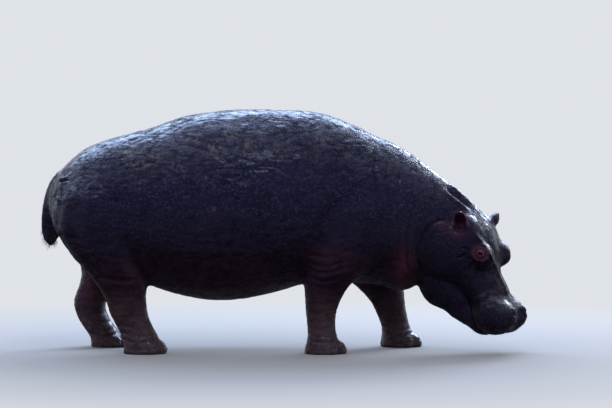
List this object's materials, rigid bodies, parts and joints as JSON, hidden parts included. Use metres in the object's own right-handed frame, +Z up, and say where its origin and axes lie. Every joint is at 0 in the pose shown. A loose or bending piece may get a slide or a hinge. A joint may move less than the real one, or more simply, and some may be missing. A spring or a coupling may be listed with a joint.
{
  "type": "hippopotamus",
  "caption": "Life-size standing hippopotamus, grazing in mid-stride with its head low and turned a little to its right.",
  "frame": {"origin": "on the ground, under the middle of the box that holds the whole animal", "axes": "+X the way the animal faces, +Y to its left, +Z up"},
  "size_m": [3.024, 1.044, 1.5113],
  "materials": {
    "hide": "wet dark slate hide with fine wrinkles and dried mud scuffs",
    "ear_hide": "thin dark hide, reddish inside the ear",
    "eye": "polished dark brown glass",
    "horn": "dull grey-brown toenail horn"
  },
  "bodies": {
    "root": {"trunk": "hide", "neck": "hide", "head": "hide", "lower_jaw": "hide", "tail": "hide", "leg_hind_right": "hide", "leg_hind_left": "hide", "leg_front_right": "hide", "leg_front_left": "hide", "ear_right": "ear_hide", "ear_left": "ear_hide", "eye_right": "eye", "eye_left": "eye", "nail_hind_right_1": "horn", "nail_hind_right_2": "horn", "nail_hind_right_3": "horn", "nail_hind_right_4": "horn", "nail_hind_left_1": "horn", "nail_hind_left_2": "horn", "nail_hind_left_3": "horn", "nail_hind_left_4": "horn", "nail_front_right_1": "horn", "nail_front_right_2": "horn", "nail_front_right_3": "horn", "nail_front_right_4": "horn", "nail_front_left_1": "horn", "nail_front_left_2": "horn", "nail_front_left_3": "horn", "nail_front_left_4": "horn"}
  },
  "joints": []
}
